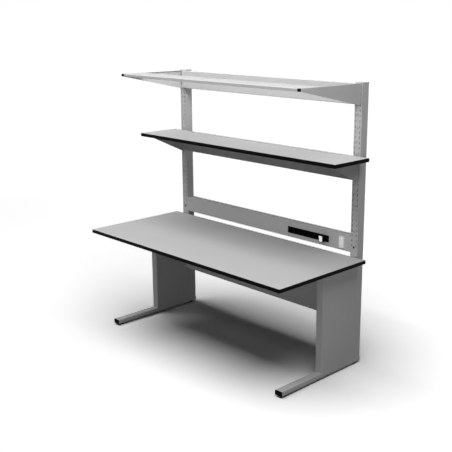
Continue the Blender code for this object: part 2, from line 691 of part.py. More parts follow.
def add_earth_plate(nickel):
    """The earth bonding plate on the duct's cover, with two press studs in round pockets."""
    back = RAIL_FRONT_Y - FIT_GAP
    front = back - EARTH_THICK
    low = (EARTH_X - EARTH_WIDTH / 2, EARTH_Z - EARTH_HEIGHT / 2)
    high = (EARTH_X + EARTH_WIDTH / 2, EARTH_Z + EARTH_HEIGHT / 2)
    plate = prism("earth_plate", "y", [rounded(low, high, EARTH_CORNER)], front, back, nickel)
    levels = [EARTH_Z + offset for offset in (STUD_PITCH / 2, -STUD_PITCH / 2)]
    pockets = rod_group("stud_pockets", "y", [(EARTH_X, front, z) for z in levels], POCKET_DIAMETER,
                        2 * POCKET_DEPTH, ROUND_SIDES)
    combine(plate, pockets, "DIFFERENCE")
    for label, z in zip(("upper", "lower"), levels):
        base = SNAP_BASE / 2
        neck = SNAP_NECK / 2
        head = SNAP_DIAMETER / 2
        shoulder = (SNAP_BASE_HEIGHT + SNAP_HEIGHT) / 2
        profile = [(0, SNAP_HEIGHT), (neck, SNAP_HEIGHT), (head, shoulder), (neck, SNAP_BASE_HEIGHT),
                   (base, SNAP_BASE_HEIGHT), (base, 0), (0, 0)]
        place = (EARTH_X, front + POCKET_DEPTH - FIT_GAP, z)
        stud = turned(f"earth_stud_{label}", profile, place, nickel, ROUND_SIDES)
        stud.rotation_euler = (math.pi / 2, 0, 0)


def arm_top(arm):
    """Height of the top edge of an arm, from the slot that its upper hook hangs in."""
    return slot_z(arm.slot) + arm.rise


def add_arm(name, side, arm, paint):
    """A tapered sheet arm: a plate bent into a flange before the upright, with hooks and welded ledges.

    The flange is cut away around each hook, which runs straight on from the plate into its slot.
    """
    top = arm_top(arm)
    bottom = top - arm.height
    back = RAIL_FRONT_Y - FIT_GAP
    front = back - arm.length
    behind = RAIL_BACK_Y + FIT_GAP
    half = ARM_SHEET / 2
    plate_x = side * ARM_X
    line = [(plate_x, front), (plate_x, back - half), (plate_x - side * (half + ARM_FLANGE), back - half)]
    plate = prism(name, "z", [folded(line, ARM_SHEET, ARM_BEND)], bottom, top, paint)
    shade_round(plate)

    nose = Vector((front, top - arm.nose))
    heel = Vector((back, bottom))
    spare = (heel - nose) / 4
    below = Vector((0, 2 * arm.height))
    taper = [nose - spare, heel + spare, heel + spare - below, nose - spare - below]
    left, right = across(side, ARM_X - 2 * ARM_FLANGE, ARM_X + ARM_FLANGE)
    combine(plate, prism(f"{name}_taper", "x", [taper], left, right), "DIFFERENCE")

    root = back - 2 * (ARM_SHEET + ARM_BEND)
    reliefs = []
    hooks = []
    left, right = across(side, ARM_X - RELIEF_WIDTH, ARM_X + ARM_SHEET)
    for index in (arm.slot, arm.slot + HOOK_STEP):
        middle = slot_z(index)
        reliefs.append(((left, root + ARM_SHEET, middle - SLOT_HEIGHT / 2),
                        (right, back + ARM_SHEET, middle + SLOT_HEIGHT / 2)))
        low = middle - SLOT_HEIGHT / 2 + FIT_GAP
        high = low + HOOK_NECK
        hooks.append([(root, high), (behind + HOOK_THICK, high), (behind + HOOK_THICK, low - HOOK_DROP),
                      (behind, low - HOOK_DROP), (behind, low), (root, low)])
    combine(plate, block_group(f"{name}_reliefs", reliefs), "DIFFERENCE")
    for place, hook in zip(("upper", "lower"), hooks):
        left, right = across(side, ARM_X - HOOK_SHEET / 2, ARM_X + HOOK_SHEET / 2)
        combine(plate, prism(f"{name}_{place}_hook", "x", [hook], left, right), "UNION")

    left, right = across(side, ARM_INNER_X - ARM_LEDGE, ARM_X)
    for number, ledge in enumerate(arm.ledges):
        ledge_top = top - ledge.drop
        plank = block(f"{name}_ledge_{number + 1}", (left, front + ledge.start, ledge_top - ARM_SHEET),
                      (right, front + ledge.end, ledge_top))
        combine(plate, plank, "UNION")


def add_beam(name, top, paint):
    """A bent cross beam between the rear flanges of two arms."""
    half = ARM_SHEET / 2
    back = RAIL_FRONT_Y - FIT_GAP
    front = back - BEAM_DEPTH + half
    low = top - BEAM_HEIGHT + half
    high = top - half
    outline = folded([(back, low), (front, low), (front, high), (back, high)], ARM_SHEET, ARM_BEND)
    reach = FLANGE_END_X - FIT_GAP
    shade_round(prism(name, "x", [outline], -reach, reach, paint))


def add_shelf(laminate, edging, paint):
    """The hook-in shelf: two arms, a beam and the board on top of them."""
    for label, side in SIDES:
        add_arm(f"shelf_arm_{label}", side, SHELF_ARM, paint)
    seat = arm_top(SHELF_ARM)
    add_beam("shelf_beam", seat, paint)
    back = RAIL_FRONT_Y - SHELF_BACK_GAP
    add_board("shelf", back - SHELF_DEPTH, back, seat + FIT_GAP + BOARD_THICK, laminate, edging)


def add_top_frame(paint, plastic, opal):
    """The hook-in top frame: two arms, a rear beam, a front rail with caps and a flat lamp."""
    for label, side in SIDES:
        add_arm(f"frame_arm_{label}", side, FRAME_ARM, paint)
    top = arm_top(FRAME_ARM)
    add_beam("frame_beam", top, paint)

    front = RAIL_FRONT_Y - FIT_GAP - FRAME_ARM_LENGTH
    back = front + RAIL_TUBE_DEPTH
    low = top - RAIL_TUBE_HEIGHT
    outer = rounded((front, low), (back, top), RAIL_TUBE_CORNER)
    bore_low = (front + RAIL_TUBE_WALL, low + RAIL_TUBE_WALL)
    bore_high = (back - RAIL_TUBE_WALL, top - RAIL_TUBE_WALL)
    bore = rectangle(bore_low, bore_high)
    end = ARM_INNER_X - FIT_GAP - RAIL_CAP_LENGTH
    prism("front_rail", "x", [outer, bore], -end + FIT_GAP, end - FIT_GAP, paint)
    plug_outline = rectangle((bore_low[0] + FIT_GAP, bore_low[1] + FIT_GAP),
                             (bore_high[0] - FIT_GAP, bore_high[1] - FIT_GAP))
    for label, side in SIDES:
        cap = prism(f"front_rail_cap_{label}", "x", [outer], side * end, side * (end + RAIL_CAP_LENGTH),
                    plastic)
        plug = prism(f"front_rail_plug_{label}", "x", [plug_outline], side * (end - RAIL_CAP_PLUG),
                     side * (end + RAIL_CAP_LENGTH / 2))
        combine(cap, plug, "UNION")
    add_lamp(back + FIT_GAP, top - FRAME_LEDGE_DROP + FIT_GAP, paint, opal)


def add_lamp(front, seat, paint, opal):
    """A flat lamp on the ledges of the arms: a bent tray, open below, with an opal panel in it."""
    half = LAMP_SHEET / 2
    high = seat + LAMP_HEIGHT - half
    low = seat + half
    near = front + half
    far = front + LAMP_DEPTH - half
    outline = folded([(near + LAMP_LIP, low), (near, low), (near, high), (far, high), (far, low),
                      (far - LAMP_LIP, low)], LAMP_SHEET, LAMP_BEND)
    reach = ARM_INNER_X - FIT_GAP
    shade_round(prism("lamp_housing", "x", [outline], -reach, reach, paint))
    inset = LAMP_SHEET + LAMP_BEND
    panel_low = seat + LAMP_SHEET + FIT_GAP
    block("lamp_diffuser", (-reach, front + inset, panel_low),
          (reach, front + LAMP_DEPTH - inset, panel_low + DIFFUSER_THICK), opal)


def main():
    clear_scene()
    paint = make_material("grey paint", (0.52, 0.52, 0.52), 0.45)
    laminate = make_material("grey laminate", (0.42, 0.42, 0.42), 0.55)
    edging = make_material("black edging", (0.008, 0.008, 0.008), 0.5)
    plastic = make_material("black plastic", (0.008, 0.008, 0.008), 0.45)
    grey = make_material("grey plastic", (0.50, 0.50, 0.50), 0.5)
    white = make_material("white plastic", (0.85, 0.85, 0.84), 0.35)
    opal = make_material("opal plastic", (0.88, 0.88, 0.88), 0.5)
    steel = make_material("dark steel", (0.12, 0.12, 0.12), 0.35, 1.0)
    nickel = make_material("bright nickel", (0.85, 0.85, 0.84), 0.25, 1.0)

    add_board("worktop", FRONT_Y, FRONT_Y + TOP_DEPTH, TOP_HEIGHT, laminate, edging)
    for label, side in SIDES:
        add_foot(label, side, paint, plastic)
        add_leg(label, side, paint)
        add_upright(label, side, paint, grey)
    add_modesty_panel(paint)
    add_power_duct(paint, steel)
    add_socket_strip(plastic)
    add_switch(plastic, white)
    add_earth_plate(nickel)
    add_shelf(laminate, edging, paint)
    add_top_frame(paint, plastic, opal)


main()
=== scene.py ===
"""Looks of the anti-static work table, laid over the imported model.

Metres, +Z up, front towards -Y, origin on the floor under the middle of the table. Sheet parts are
bevelled copies of their solids; bands, screws and levelling feet are surfaces worked out with numpy.
"""
import json
import math

import bmesh
import bpy
import numpy as np
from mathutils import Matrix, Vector


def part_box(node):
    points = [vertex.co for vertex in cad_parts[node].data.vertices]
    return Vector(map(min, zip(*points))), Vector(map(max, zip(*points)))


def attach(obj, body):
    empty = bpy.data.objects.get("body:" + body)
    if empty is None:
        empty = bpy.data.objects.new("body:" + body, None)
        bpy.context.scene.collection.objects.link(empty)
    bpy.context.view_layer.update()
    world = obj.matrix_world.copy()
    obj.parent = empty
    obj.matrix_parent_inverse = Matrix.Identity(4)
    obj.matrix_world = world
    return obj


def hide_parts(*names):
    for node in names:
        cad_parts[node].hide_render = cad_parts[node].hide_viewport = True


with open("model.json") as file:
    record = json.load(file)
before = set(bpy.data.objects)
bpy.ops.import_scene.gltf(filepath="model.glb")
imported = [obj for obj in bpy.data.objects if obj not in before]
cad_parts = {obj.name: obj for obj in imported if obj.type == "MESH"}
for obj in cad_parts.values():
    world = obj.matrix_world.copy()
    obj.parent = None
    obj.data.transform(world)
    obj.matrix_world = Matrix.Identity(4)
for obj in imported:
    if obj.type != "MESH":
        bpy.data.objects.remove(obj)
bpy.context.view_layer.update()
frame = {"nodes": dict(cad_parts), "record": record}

scene = bpy.context.scene
nodes = frame["nodes"]
record = frame["record"]
node_body = {node: body for body, members in record["behaviour"]["bodies"].items() for node in members}
node_slot = {part["node"]: part["material_slot"] for part in record["subparts"]}

# Camera of the photograph, 452 x 452 pixels
FRAME_PIXELS = 452
FOCAL_PIXELS = 798.23
AXIS_PIXEL = (253.64, 221.58)
CAMERA_AT = Vector((3.7185, -3.4284, 2.1622))
CAMERA_BACK = Vector((0.6855, -0.6839, 0.2496))
SENSOR = 36.0
CLIP_END = 200.0

# Finishes: base greys, the share of them that is left on pierced walls as painted shade, glow and gloss
PAINT_GREY = 0.52
LAMINATE_GREY = 0.46
EDGING_BLACK = 0.005
PLASTIC_BLACK = 0.006
CAP_GREY = 0.50
SWITCH_WHITE = 0.85
OPAL_WHITE = 0.85
STEEL_DARK = 0.07
NICKEL = 0.85
# The lamp housing's darker grey is painted shade, which keeps its top from rendering brighter than the paint
LAMP_SHADED_GREY = 0.40
# Pierced walls of the slotted rails keep this share of the paint's grey: painted shade in the slots
PAINTED_SLOT_SHADE = 0.25
LAMP_GLOW = 0.55
# The rocker's glow is a painted glow that brightens the white switch; it is no lamp
PAINTED_SWITCH_GLOW = 0.35
PAINT_GLOSS = 0.06
LAMP_GLOSS = 0.04
LAMINATE_GLOSS = 0.06
BLACK_GLOSS = 0.015

# Tints, the white of lights, and the span that most of a noise pattern lies in
NEUTRAL = (1.0, 1.0, 1.0)
WARM = (1.0, 1.0, 0.985)
WHITE = (1.0, 1.0, 1.0, 1.0)
NOISE_SPAN = (0.3, 0.7)

# Light: one wide softbox overhead, and weak fills with place, side, watts and the pieces that flags keep dark
SOFTBOX_MIDDLE = (0.045, -0.78)
SOFTBOX_SIDES = (5.47, 2.52)
SOFTBOX_HEIGHT = 3.2
SOFTBOX_WATTS = 138.0
UNDER_SHELF = ("shelf_beam_skin", "shelf_arm_left_skin", "shelf_arm_right_skin")
FILLS = {
    "front_fill": ((0.0, -4.2, 3.6), 2.5, 5.5, ()),
    "low_front_fill": ((0.0, -4.6, 0.7), 2.5, 28.8, UNDER_SHELF),
    "low_right_fill": ((3.8, -2.4, 0.7), 2.5, 17.0, UNDER_SHELF),
    "right_fill": ((4.6, 0.0, 2.0), 2.5, 20.0, ()),
    "rear_fill": ((-1.0, 4.5, 1.5), 2.5, 20.0, ()),
    "left_fill": ((-4.6, 0.0, 1.5), 2.5, 15.0, ()),
}
FILL_AIM = (0.0, 0.0, 0.9)
SKY_STRENGTH = 0.01

# Spill of the lamp: small lights with place, side, watts and the only pieces that they reach
BESIDE_LAMP = ("frame_arm_left_skin", "frame_arm_right_skin",
               "upright_post_left_skin", "upright_post_right_skin")
SPILLS = {
    "arm_spill": ((-0.1, -0.15, 2.35), 0.4, 8.0, BESIDE_LAMP),
    "beam_spill": ((0.0, -1.6, 2.6), 1.5, 13.0, ("frame_beam_skin",)),
}

# Floor: its white rises from a middle by (1 + q) to a power, the softbox's light falls off in the same way
FLOOR_HALF = 30.0
FLOOR_BOUNCE = 0.20
FLOOR_WHITE = 1.046
FLOOR_MOST = 4.0
FLOOR_MIDDLE = (-0.672, -1.839)
FLOOR_REACH = (9.0, 6.985)
FLOOR_POWER = 4.148
FALL_REACH = (7.34, 5.85)
FALL_POWER = 4.01
FLOOR_LIT = 0.883

# Directions of an axis
UP = (0, 0, 1)
DOWN = (0, 0, -1)
FORWARDS = (0, -1, 0)

# Screws: head radius, head height, key, shank radius and length
DUCT_SCREW = (0.0065, 0.005, 0.0045, 0.003, 0.014)
BOARD_SCREW = (0.0060, 0.0032, 0.0040, 0.003, 0.001)
BOARD_SCREWS_Y = (-0.330, -0.170, -0.010)
SCREW_SIDES = 48

# Form of a screw's head: the rim over the height, the arris over the rim, the underside over the radius, the
# flat over the key, and the socket's rings over the hexagon, with their depths over the height
RIM_SHARE = 0.2
RIM_ARRIS_SHARE = 0.1
UNDERSIDE_SHARE = 0.95
FLAT_SHARE = 0.63
SOCKET_SHARES = (1.04, 1.0, 1.0, 0.1)
SOCKET_DEPTHS = (0.0, 0.04, 0.6, 0.75)
DOME_POINTS = 9

# Levelling feet: the pad's levels, insets and shares of the flutes' depth, from the floor up to the neck
PAD_PROFILE = (
    (0.0, 0.0010, 0), (0.0002, 0.0004, 0), (0.0006, 0.0, 0), (0.0012, 0.0, 0), (0.0016, 0.0, 1),
    (0.0048, 0.0, 1), (0.0052, 0.0, 0), (0.0058, 0.0002, 0), (0.0061, 0.0008, 0), (0.0066, 0.0020, 0),
    (0.0090, 0.0074, 0), (0.0104, 0.0106, 0), (0.0113, 0.0121, 0), (0.0117, 0.0127, 0),
)
PAD_SIDES = 192
FLUTES = 24
FLUTE_DEPTH = 0.0012
STUD_RADIUS = 0.005
STUD_SUNK = 0.003
STUD_SIDES = 32
THREAD_PITCH = 0.0015
THREAD_DEPTH = 0.0009
THREAD_STEPS = 8

# Edge bands
BAND_THICK = 0.002
BAND_CORNER = 0.003
BAND_CORNER_STEPS = 6
BAND_LEAST_RADIUS = 0.0001
BAND_ARRIS = 0.0009
BAND_ARRIS_POINTS = 5

# Rim along the top of the frame arms: its free edge in the solid, and where the narrow lip ends
RIM_EDGE_X = 0.79525
RIM_DEPTH = 0.0031
RIM_SLACK = 0.0001
LIP_EDGE_X = 0.81025

# Slotted rails: the margin without piercings, and how far a pierced wall may face forwards
RAIL_RIM = 0.001
WALL_FACING = 0.5

# Arrises and the merging of meshes
SHEET_ARRIS = 0.0004
PLASTIC_ARRIS = 0.0007
ARRIS_STEPS = 2
ARRIS_PROFILE = 0.5
ARRIS_ANGLE = math.radians(40)
SHARP_ANGLE = math.radians(32)
FLAT_ANGLE = math.radians(0.5)
FLAT_WEIGHT = 100
SOLID_MERGE = 1e-6
SKIN_MERGE = 1e-7


# Finishes

def calculate(tree, value, *steps):
    """A chain of sums on a value: each step has an operation and its further values, numbers or outputs."""
    for operation, *others in steps:
        node = tree.nodes.new("ShaderNodeMath")
        node.operation = operation
        tree.links.new(value, node.inputs[0])
        for number, other in enumerate(others, 1):
            if isinstance(other, bpy.types.NodeSocket):
                tree.links.new(other, node.inputs[number])
            else:
                node.inputs[number].default_value = other
        value = node.outputs[0]
    return value


class Finish:
    """A Principled material whose colour, roughness and bump come from patterns on Object coordinates."""

    def __init__(self, name, grey, roughness, metallic=0.0):
        self.material = bpy.data.materials.new(name)
        self.material.use_nodes = True
        self.tree = self.material.node_tree
        self.shader = self.tree.nodes["Principled BSDF"]
        self.grey = grey
        self.place = self.tree.nodes.new("ShaderNodeTexCoord").outputs["Object"]
        self.set("Roughness", roughness)
        self.set("Metallic", metallic)

    def set(self, socket, value):
        """Set a socket that is the same all over the surface."""
        self.shader.inputs[socket].default_value = value
        return self

    def gloss(self, level):
        """How much the surface mirrors."""
        return self.set("Specular IOR Level", level)

    def glow(self, strength):
        """Faint white emission: a lamp's own light, or a painted glow."""
        return self.set("Emission Color", WHITE).set("Emission Strength", strength)

    def stretched(self, scale):
        """Object coordinates stretched along the axes, for lines that follow an extrusion."""
        node = self.tree.nodes.new("ShaderNodeMapping")
        node.inputs["Scale"].default_value = scale
        self.tree.links.new(self.place, node.inputs["Vector"])
        return node.outputs["Vector"]

    def noise(self, waves, detail, place=None):
        """A cloudy pattern with so many waves to the metre."""
        node = self.tree.nodes.new("ShaderNodeTexNoise")
        node.inputs["Scale"].default_value = waves
        node.inputs["Detail"].default_value = detail
        self.tree.links.new(place or self.place, node.inputs["Vector"])
        return node.outputs["Fac"]

    def cells(self, points):
        """Distance to the nearest of scattered points, so many to the metre."""
        node = self.tree.nodes.new("ShaderNodeTexVoronoi")
        node.inputs["Scale"].default_value = points
        self.tree.links.new(self.place, node.inputs["Vector"])
        return node.outputs["Distance"]

    def marked(self, name):
        """1 on the faces that carry a mark, and 0 elsewhere."""
        node = self.tree.nodes.new("ShaderNodeAttribute")
        node.attribute_name = name
        return node.outputs["Fac"]

    def spread(self, pattern, low, high, span=NOISE_SPAN):
        """Map a pattern's usual span to a range of values."""
        node = self.tree.nodes.new("ShaderNodeMapRange")
        node.inputs["From Min"].default_value, node.inputs["From Max"].default_value = span
        node.inputs["To Min"].default_value = low
        node.inputs["To Max"].default_value = high
        self.tree.links.new(pattern, node.inputs["Value"])
        return node.outputs["Result"]

    def times(self, first, second):
        """Product of two patterns."""
        return calculate(self.tree, first, ("MULTIPLY", second))

    def colour(self, shade, tint=NEUTRAL):
        """Base colour: the grey times a shade pattern near 1, with a slight tint."""
        node = self.tree.nodes.new("ShaderNodeMix")
        node.data_type = "RGBA"
        node.blend_type = "MULTIPLY"
        node.inputs["Factor"].default_value = 1.0
        base, factor = (socket for socket in node.inputs if socket.type == "RGBA")
        base.default_value = (*(self.grey * part for part in tint), 1.0)
        self.tree.links.new(shade, factor)
        result = next(socket for socket in node.outputs if socket.type == "RGBA")
        self.tree.links.new(result, self.shader.inputs["Base Color"])

    def roughness(self, pattern):
        """Roughness from a pattern."""
        self.tree.links.new(pattern, self.shader.inputs["Roughness"])

    def bump(self, pattern, depth):
        """Surface relief from a pattern, so many metres deep."""
        node = self.tree.nodes.new("ShaderNodeBump")
        node.inputs["Strength"].default_value = 1.0
        node.inputs["Distance"].default_value = depth
        self.tree.links.new(pattern, node.inputs["Height"])
        self.tree.links.new(node.outputs["Normal"], self.shader.inputs["Normal"])


def powder_coat(name, grey, gloss):
    """Satin grey powder coat: orange-peel skin, fine grain and faint cloudiness, with painted shade on
    pierced walls.
    """
    finish = Finish(name, grey, roughness=0.5).gloss(gloss)
    cloud = finish.spread(finish.noise(waves=5.0, detail=3.0), 0.975, 1.025)
    grain = finish.spread(finish.noise(waves=2600.0, detail=1.0), 0.97, 1.03)
    # Painted shade: the pierced walls of the slots keep only a share of the grey
    painted_slot_shade = finish.spread(finish.marked("painted_slot_shade"), 1.0, PAINTED_SLOT_SHADE, span=(0.0, 1.0))
    finish.colour(finish.times(finish.times(cloud, grain), painted_slot_shade))
    finish.roughness(finish.spread(finish.noise(waves=60.0, detail=4.0), 0.45, 0.58))
    finish.bump(finish.noise(waves=420.0, detail=2.0), depth=0.00012)
    return finish.material


def laminate():
    """Matt anti-static laminate: a pearl relief with faint light and dark flecks."""
    finish = Finish("grey_laminate", LAMINATE_GREY, roughness=0.6).gloss(LAMINATE_GLOSS)
    flecks = finish.spread(finish.cells(points=900.0), 0.93, 1.03, span=(0.1, 0.5))
    cloud = finish.spread(finish.noise(waves=3.0, detail=3.0), 0.985, 1.015)
    finish.colour(finish.times(cloud, flecks))
    finish.roughness(finish.spread(finish.noise(waves=500.0, detail=2.0), 0.55, 0.68))
    finish.bump(finish.noise(waves=700.0, detail=2.0), depth=0.00008)
    return finish.material


def edging():
    """Black edge band: matt plastic with the fine lines of its extrusion along the edge."""
    finish = Finish("black_edging", EDGING_BLACK, roughness=0.45).gloss(BLACK_GLOSS)
    lines = finish.noise(waves=1.0, detail=2.0, place=finish.stretched((40.0, 40.0, 2200.0)))
    finish.colour(finish.spread(finish.noise(waves=30.0, detail=3.0), 0.85, 1.2))
    finish.roughness(finish.spread(lines, 0.38, 0.52))
    finish.bump(lines, depth=0.00004)
    return finish.material


def moulded(name, grey, low, high, tint=NEUTRAL):
    """Moulded plastic with a fine spark-eroded grain, whose roughness lies between two values."""
    finish = Finish(name, grey, roughness=(low + high) / 2)
    finish.colour(finish.spread(finish.noise(waves=18.0, detail=3.0), 0.96, 1.04), tint)
    finish.roughness(finish.spread(finish.noise(waves=300.0, detail=3.0), low, high))
    finish.bump(finish.noise(waves=1500.0, detail=2.0), depth=0.00003)
    return finish


def black_moulded():
    """Black plastic of the caps, sockets and feet, with hardly any gloss."""
    return moulded("black_plastic", PLASTIC_BLACK, low=0.42, high=0.56).gloss(BLACK_GLOSS).material


def grey_moulded():
    """Grey plastic of the caps on the uprights."""
    return moulded("grey_plastic", CAP_GREY, low=0.42, high=0.55).material


def opal():
    """Opal lamp panel with a fine lens grain, softly lit from behind."""
    return moulded("opal_panel", OPAL_WHITE, low=0.4, high=0.55).glow(LAMP_GLOW).material


def white_with_painted_glow():
    """White rocker plastic with a faint painted glow that brightens it."""
    finish = moulded("white_plastic_painted_glow", SWITCH_WHITE, low=0.25, high=0.36, tint=WARM)
    return finish.glow(PAINTED_SWITCH_GLOW).material


def metal(name, grey, low, high):
    """Bare or plated metal with a faint grain, whose roughness lies between two values."""
    finish = Finish(name, grey, roughness=(low + high) / 2, metallic=1.0)
    finish.colour(finish.spread(finish.noise(waves=400.0, detail=3.0), 0.93, 1.07))
    finish.roughness(finish.spread(finish.noise(waves=900.0, detail=2.0), low, high))
    finish.bump(finish.noise(waves=1800.0, detail=1.0), depth=0.00002)
    return finish.material


finishes = {
    "paint": powder_coat("powder_coat", PAINT_GREY, PAINT_GLOSS),
    "laminate": laminate(),
    "edging": edging(),
    "black_plastic": black_moulded(),
    "grey_plastic": grey_moulded(),
    "white_plastic": white_with_painted_glow(),
    "opal": opal(),
    "steel": metal("dark_steel", STEEL_DARK, low=0.28, high=0.45),
    "nickel": metal("satin_nickel", NICKEL, low=0.42, high=0.55),
}

# The lamp housing wears a darker copy of the powder coat: painted shade on its top
node_finish = {"lamp_housing": powder_coat("lamp_shaded_coat", LAMP_SHADED_GREY, LAMP_GLOSS)}


# Shapes

def dress(mesh, material):
    """Give a mesh one finish."""
    mesh.materials.clear()
    mesh.materials.append(material)


def add_piece(name, mesh, slot, body, *stands_for):
    """Give a mesh its finish, let it ride on a body and let it stand for solids."""
    piece = bpy.data.objects.new(name, mesh)
    scene.collection.objects.link(piece)
    dress(mesh, finishes[slot])
    mesh.shade_smooth()
    mesh.set_sharp_from_angle(angle=SHARP_ANGLE)
    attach(piece, body)
    if stands_for:
        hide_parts(*stands_for)
    return piece


def corners(node):
    """A solid's lowest and highest corners as arrays."""
    return [np.array(corner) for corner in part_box(node)]


def merged(node):
    """A merged copy of a solid's mesh with its flat faces made whole."""
    work = bmesh.new()
    work.from_mesh(nodes[node].data)
    bmesh.ops.remove_doubles(work, verts=work.verts, dist=SOLID_MERGE)
    bmesh.ops.dissolve_limit(work, angle_limit=FLAT_ANGLE, verts=work.verts, edges=work.edges)
    mesh = bpy.data.meshes.new(node)
    work.to_mesh(mesh)
    work.free()
    return mesh


def soften(node, arris, reshape=None):
    """A merged copy of a solid with its arrises rounded, reshaped first where that is asked for."""
    mesh = merged(node)
    if reshape:
        reshape(mesh)
    work = bmesh.new()
    work.from_mesh(mesh)
    arrises = [edge for edge in work.edges
               if len(edge.link_faces) == 2 and edge.calc_face_angle() > ARRIS_ANGLE]
    bmesh.ops.bevel(work, geom=arrises, offset=arris, segments=ARRIS_STEPS, profile=ARRIS_PROFILE,
                    affect="EDGES", clamp_overlap=True)
    work.to_mesh(mesh)
    work.free()
    piece = add_piece(f"{node}_skin", mesh, node_slot[node], node_body[node], node)
    if node in node_finish:
        dress(mesh, node_finish[node])
    shading = piece.modifiers.new("flat_faces", "WEIGHTED_NORMAL")
    shading.weight = FLAT_WEIGHT
    shading.keep_sharp = True


def narrow_rim(mesh):
    """Draw a frame arm's top rim back to a narrow lip: the points of its free edge move towards the plate."""
    points = np.empty(3 * len(mesh.vertices), np.float32)
    mesh.vertices.foreach_get("co", points)
    x, _, z = points.reshape(-1, 3).T
    edge = (np.abs(np.abs(x) - RIM_EDGE_X) < RIM_SLACK) & (z > z.max() - RIM_DEPTH)
    x[edge] = np.sign(x[edge]) * LIP_EDGE_X
    mesh.vertices.foreach_set("co", points)


def pierced_rail(node):
    """A merged copy of a slotted rail with its pierced walls marked, which the powder coat darkens as painted
    shade.

    Those are the faces along the sheet's thickness that lie off its rim.
    """
    mesh = merged(node)
    count = len(mesh.polygons)
    facing, middle = np.empty(3 * count, np.float32), np.empty(3 * count, np.float32)
    mesh.polygons.foreach_get("normal", facing)
    mesh.polygons.foreach_get("center", middle)
    low, high = (corner[[0, 2]] for corner in corners(node))
    middle = middle.reshape(-1, 3)[:, [0, 2]]
    inside = np.all((middle > low + RAIL_RIM) & (middle < high - RAIL_RIM), 1)
    painted_slot_shade = inside & (np.abs(facing.reshape(-1, 3)[:, 1]) < WALL_FACING)
    # The mark darkens these walls in the powder coat as painted shade
    mark = mesh.attributes.new("painted_slot_shade", "FLOAT", "FACE")
    mark.data.foreach_set("value", painted_slot_shade.astype(np.float32))
    add_piece(f"{node}_sheet", mesh, node_slot[node], node_body[node], node)


def skin(name, rings, closed=False):
    """Mesh of a grid of points: each ring is closed on itself and joined to the next by four-sided faces.

    The first and the last ring are filled, or joined to each other where the grid is closed.
    """
    count, around, _ = rings.shape
    index = np.arange(count * around).reshape(count, around)
    lower = index if closed else index[:-1]
    upper = np.roll(index, -1, 0) if closed else index[1:]
    sides = np.stack([lower, np.roll(lower, -1, 1), np.roll(upper, -1, 1), upper], -1).reshape(-1, 4)
    faces = sides.tolist()
    if not closed:
        faces += [index[0][::-1].tolist(), index[-1].tolist()]
    mesh = bpy.data.meshes.new(name)
    mesh.from_pydata(rings.reshape(-1, 3), [], faces)
    work = bmesh.new()
    work.from_mesh(mesh)
    bmesh.ops.remove_doubles(work, verts=work.verts, dist=SKIN_MERGE)
    bmesh.ops.recalc_face_normals(work, faces=work.faces)
    work.to_mesh(mesh)
    work.free()
    return mesh


def round_rectangle(half_width, half_depth, radius):
    """Rectangle with round corners: at each corner a quarter circle about a hub one radius inside it."""
    turn = np.linspace(0, np.pi / 2, BAND_CORNER_STEPS + 1)
    angle = np.arange(4)[:, None] * np.pi / 2 + turn
    hubs = np.array([(1, 1), (-1, 1), (-1, -1), (1, -1)]) * (half_width - radius, half_depth - radius)
    points = hubs[:, None] + radius * np.stack([np.cos(angle), np.sin(angle)], -1)
    return points.reshape(-1, 2)


def edge_band(node):
    """An edge band: its section, a strip with round outer arrises, is carried around a round rectangle.

    Along the path the section's inset moves a point straight inwards, by shrinking the rectangle and its
    corner radius alike.
    """
    low, high = corners(node)
    middle = (low + high) / 2
    half = (high - low) / 2
    turn = np.linspace(0, np.pi / 2, BAND_ARRIS_POINTS)
    rise, fall = BAND_ARRIS * (1 - np.cos(turn)), BAND_ARRIS * (1 - np.sin(turn))
    inset = np.concatenate([fall, rise, [BAND_THICK, BAND_THICK]])
    level = np.concatenate([rise - half[2], half[2] - fall, [half[2], -half[2]]])
    radius = np.maximum(BAND_CORNER - inset, BAND_LEAST_RADIUS)
    paths = np.stack([round_rectangle(*(half[:2] - step), bend) for step, bend in zip(inset, radius)])
    levels = np.broadcast_to(level[:, None, None], (*paths.shape[:2], 1))
    rings = np.concatenate([paths, levels], -1) + middle
    mesh = skin(node, rings.transpose(1, 0, 2), closed=True)
    add_piece(f"{node}_strip", mesh, node_slot[node], node_body[node], node)


def turned(name, place, axis, reach, level):
    """Mesh of a turned form: a grid of rings by angles.

    A point lies so far along the axis from the place, its level, and so far from the axis, its reach, at an
    angle that runs once around each ring.
    """
    first = np.array((1.0, 0.0, 0.0))
    second = np.cross(axis, first)
    angle = 2 * np.pi * np.arange(reach.shape[1]) / reach.shape[1]
    across = np.cos(angle)[:, None] * first + np.sin(angle)[:, None] * second
    return skin(name, np.array(place) + level[..., None] * np.array(axis) + reach[..., None] * across)


def button_screw(name, place, axis, sizes, body, *stands_for):
    """A button-head screw with a hexagonal socket.

    The head is a quarter of an ellipse from its rim to the flat around the socket. The socket's rings are
    hexagons: half the width across flats over the cosine of the angle from the middle of a flat.
    """
    head, height, key, shank, length = sizes
    angle = 2 * np.pi * np.arange(SCREW_SIDES) / SCREW_SIDES
    hexagon = key / 2 / np.cos((angle + np.pi / 6) % (np.pi / 3) - np.pi / 6)
    rim, flat = RIM_SHARE * height, FLAT_SHARE * key
    turn = np.linspace(0, np.pi / 2, DOME_POINTS)
    dome = flat + (head - flat) * np.cos(turn)
    around = np.concatenate([[shank, shank, UNDERSIDE_SHARE * head, head], dome])
    socket = np.array(SOCKET_SHARES)[:, None] * hexagon
    reach = np.concatenate([around[:, None] * np.ones_like(angle), socket])
    level = np.concatenate([[-length, 0, 0, RIM_ARRIS_SHARE * rim], rim + (height - rim) * np.sin(turn),
                            height - np.array(SOCKET_DEPTHS) * height])
    mesh = turned(name, place, axis, reach, level[:, None] * np.ones_like(angle))
    add_piece(name, mesh, "steel", body, *stands_for)


